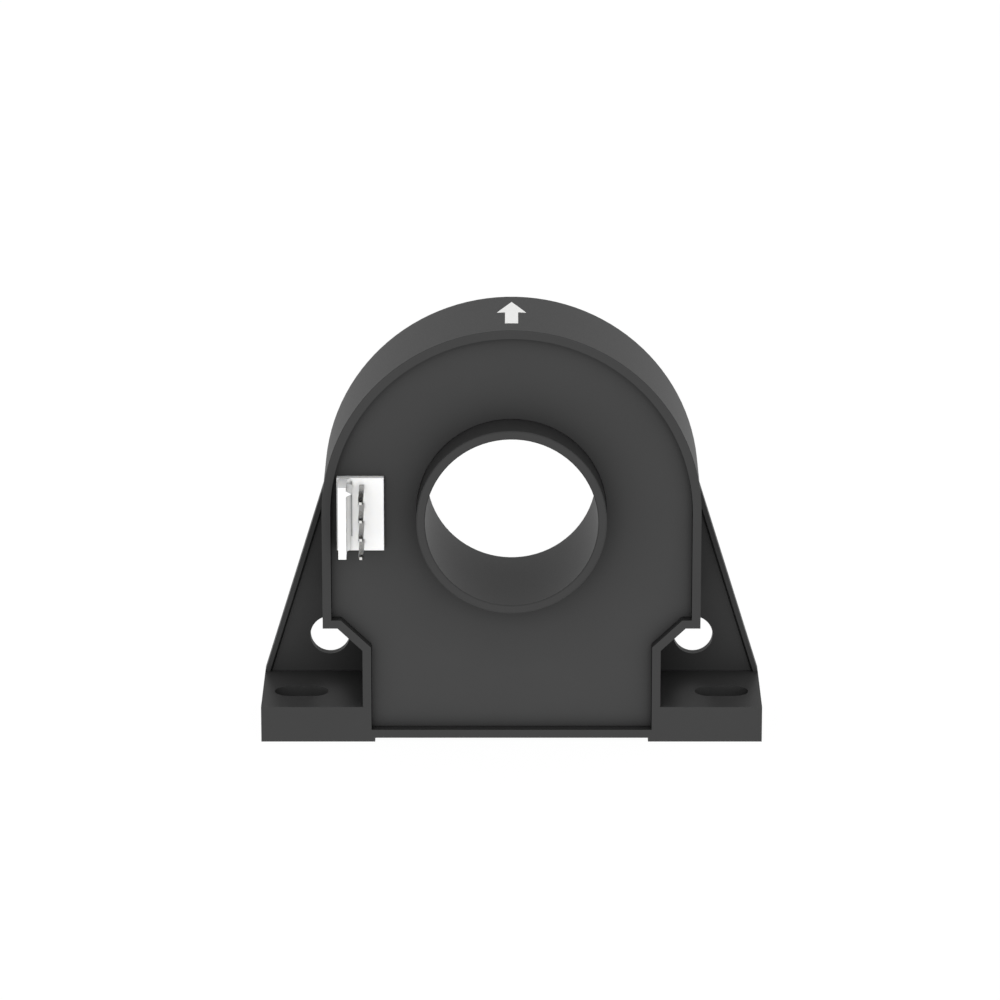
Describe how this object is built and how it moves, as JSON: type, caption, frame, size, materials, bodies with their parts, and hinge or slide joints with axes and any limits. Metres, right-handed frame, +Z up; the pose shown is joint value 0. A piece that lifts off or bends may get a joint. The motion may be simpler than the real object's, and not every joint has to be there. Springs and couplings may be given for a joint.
{
  "type": "closed-loop hall current sensor",
  "caption": "Closed-loop hall current sensor: D-shaped dark grey case on two slotted feet, round through hole for the conductor, white pin header on the front, direction arrow on top.",
  "frame": {"origin": "on the base plane, midway between the centres of the two foot slots", "axes": "+X across the feet, to the right seen from the front; +Y along the through hole, from the header side to the back; +Z up"},
  "size_m": [0.0666, 0.0239, 0.0568],
  "materials": {
    "case_plastic": "injection moulded flame retardant plastic, dark grey, fine matt",
    "arrow_print": "white print, matt",
    "header_nylon": "natural white nylon, moulded",
    "pin_metal": "tin plated brass, drawn square wire",
    "board_laminate": "glass epoxy laminate with green solder resist",
    "core_steel": "strip wound nickel iron, annealed",
    "core_cover_plastic": "moulded polyamide, natural",
    "copper_wire": "enamelled copper wire",
    "chip_resin": "moulded epoxy, black",
    "capacitor_can": "drawn aluminium can",
    "resistor_ceramic": "sintered alumina chip with a dark film"
  },
  "bodies": {
    "root": {"housing": "case_plastic", "front_cover": "case_plastic", "direction_arrow": "arrow_print", "header_body": "header_nylon", "header_pin_1": "pin_metal", "header_pin_2": "pin_metal", "header_pin_3": "pin_metal", "header_pin_4": "pin_metal", "circuit_board": "board_laminate", "magnetic_core": "core_steel", "core_cover_front": "core_cover_plastic", "core_cover_rear": "core_cover_plastic", "secondary_winding": "copper_wire", "winding_lead_start": "copper_wire", "winding_lead_finish": "copper_wire", "hall_element": "chip_resin", "driver_amplifier": "chip_resin", "output_transistor_1": "chip_resin", "output_transistor_2": "chip_resin", "supply_capacitor_1": "capacitor_can", "supply_capacitor_2": "capacitor_can", "supply_diode_1": "chip_resin", "supply_diode_2": "chip_resin", "measuring_resistor": "resistor_ceramic", "gain_resistor_1": "resistor_ceramic", "gain_resistor_2": "resistor_ceramic", "gain_resistor_3": "resistor_ceramic", "gain_resistor_4": "resistor_ceramic"}
  },
  "joints": []
}
